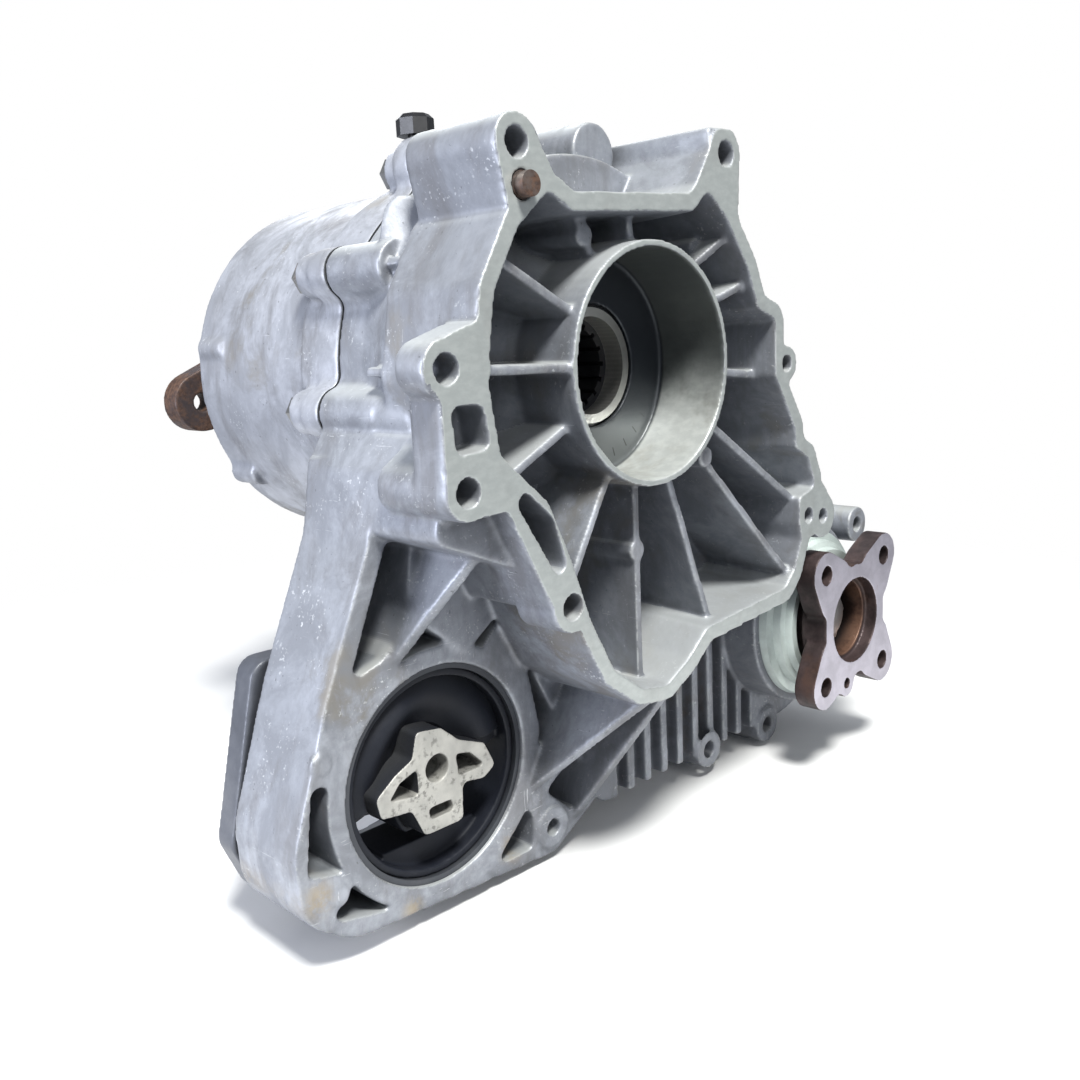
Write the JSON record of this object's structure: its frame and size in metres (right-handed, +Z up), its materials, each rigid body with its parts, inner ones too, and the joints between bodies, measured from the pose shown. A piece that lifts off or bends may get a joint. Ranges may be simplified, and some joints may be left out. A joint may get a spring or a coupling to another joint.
{
  "type": "transfer case",
  "caption": "Transfer case: ribbed bell housing, gear train to a low front output flange, plate clutch to the rear output, and a rubber mount eye.",
  "frame": {"origin": "centre of the input collar in the plane of the gearbox face", "axes": "+Y rearwards along the main shaft, +X towards the front output as seen from the gearbox, +Z up"},
  "size_m": [0.3938, 0.3055, 0.339],
  "materials": {
    "cast_aluminium": "die-cast, matt",
    "sealant": "cured sealant",
    "fastener_steel": "zinc-plated",
    "black_plastic": "moulded",
    "motor_can": "cast",
    "seal_rubber": "oiled",
    "mount_rubber": "matt",
    "core_aluminium": "extruded, matt",
    "sleeve_steel": "pressed",
    "flange_steel": "forged, light rust",
    "carrier_metal": "pale, weathered",
    "shaft_steel": "ground",
    "gear_steel": "ground, case-hardened",
    "bearing_steel": "polished",
    "clutch_steel": "pressed",
    "friction_lining": "paper-faced"
  },
  "bodies": {
    "housing": {"front_housing": "cast_aluminium", "rear_cover": "cast_aluminium", "seam_bead": "sealant", "seam_screws": "fastener_steel", "dowel_pin": "fastener_steel", "fill_plug": "fastener_steel", "drain_plug": "fastener_steel", "breather_cap": "black_plastic", "input_seal": "seal_rubber", "front_bearing_outer": "bearing_steel", "front_bearing_shields": "bearing_steel", "rear_bearing_outer": "bearing_steel", "rear_bearing_shields": "bearing_steel", "rear_seal": "seal_rubber", "output_front_bearing_outer": "bearing_steel", "output_front_bearing_shields": "bearing_steel", "output_rear_bearing_outer": "bearing_steel", "output_rear_bearing_shields": "bearing_steel", "front_seal": "seal_rubber", "seal_carrier": "carrier_metal", "idler_axle": "shaft_steel", "ramp_balls": "bearing_steel", "fixed_ramp_ring": "clutch_steel", "actuator_motor": "motor_can", "actuator_screws": "fastener_steel", "mount_sleeve": "sleeve_steel", "mount_rubber": "mount_rubber", "mount_core": "core_aluminium", "stop_plate": "sleeve_steel", "stop_plate_screws": "fastener_steel"},
    "main_shaft": {"main_shaft": "shaft_steel", "front_bearing_inner": "bearing_steel", "rear_bearing_inner": "bearing_steel", "rear_output_flange": "flange_steel", "rear_flange_nut": "fastener_steel", "clutch_hub": "clutch_steel", "friction_discs": "friction_lining", "drive_gear_needles": "shaft_steel"},
    "drive": {"drive_gear": "gear_steel", "clutch_basket": "clutch_steel", "steel_discs": "clutch_steel"},
    "idler": {"idler_gear": "gear_steel", "idler_needles": "shaft_steel"},
    "front_output": {"driven_gear": "gear_steel", "output_shaft": "shaft_steel", "output_front_bearing_inner": "bearing_steel", "output_rear_bearing_inner": "bearing_steel", "front_output_flange": "flange_steel", "front_flange_nut": "fastener_steel"},
    "pressure_plate": {"pressure_plate": "clutch_steel", "thrust_bearing": "bearing_steel"},
    "ramp": {"ramp_ring": "clutch_steel"},
    "actuator": {"actuator_shaft": "shaft_steel"}
  },
  "joints": [
    {"name": "main_shaft_spin", "type": "hinge", "parent": "housing", "child": "main_shaft", "pos_m": [0, 0, 0], "axis": [0, 1, 0], "continuous": true},
    {"name": "front_output_spin", "type": "hinge", "parent": "housing", "child": "front_output", "pos_m": [0.16633, 0, -0.14643], "axis": [0, 1, 0], "continuous": true},
    {"name": "drive_gear_spin", "type": "hinge", "parent": "housing", "child": "drive", "pos_m": [0, 0, 0], "axis": [0, 1, 0], "continuous": true},
    {"name": "idler_spin", "type": "hinge", "parent": "housing", "child": "idler", "pos_m": [0.08316, 0, -0.07322], "axis": [0, 1, 0], "continuous": true},
    {"name": "actuator_turn", "type": "hinge", "parent": "housing", "child": "actuator", "pos_m": [0.072, 0, 0], "axis": [0, 1, 0], "range_deg": [0, 200]},
    {"name": "pressure_plate_slide", "type": "slide", "parent": "housing", "child": "pressure_plate", "axis": [0, -1, 0], "range_m": [0, 0.0015]},
    {"name": "ramp_ring_turn", "type": "hinge", "parent": "pressure_plate", "child": "ramp", "pos_m": [0, 0, 0], "axis": [0, 1, 0], "range_deg": [-40, 0]}
  ],
  "couplings": [
    {"joint": "drive_gear_spin", "follows": "front_output_spin", "ratio": 1},
    {"joint": "idler_spin", "follows": "front_output_spin", "ratio": -1},
    {"joint": "actuator_turn", "follows": "ramp_ring_turn", "ratio": -5},
    {"joint": "pressure_plate_slide", "follows": "ramp_ring_turn", "m_per_rad": -0.0021}
  ]
}
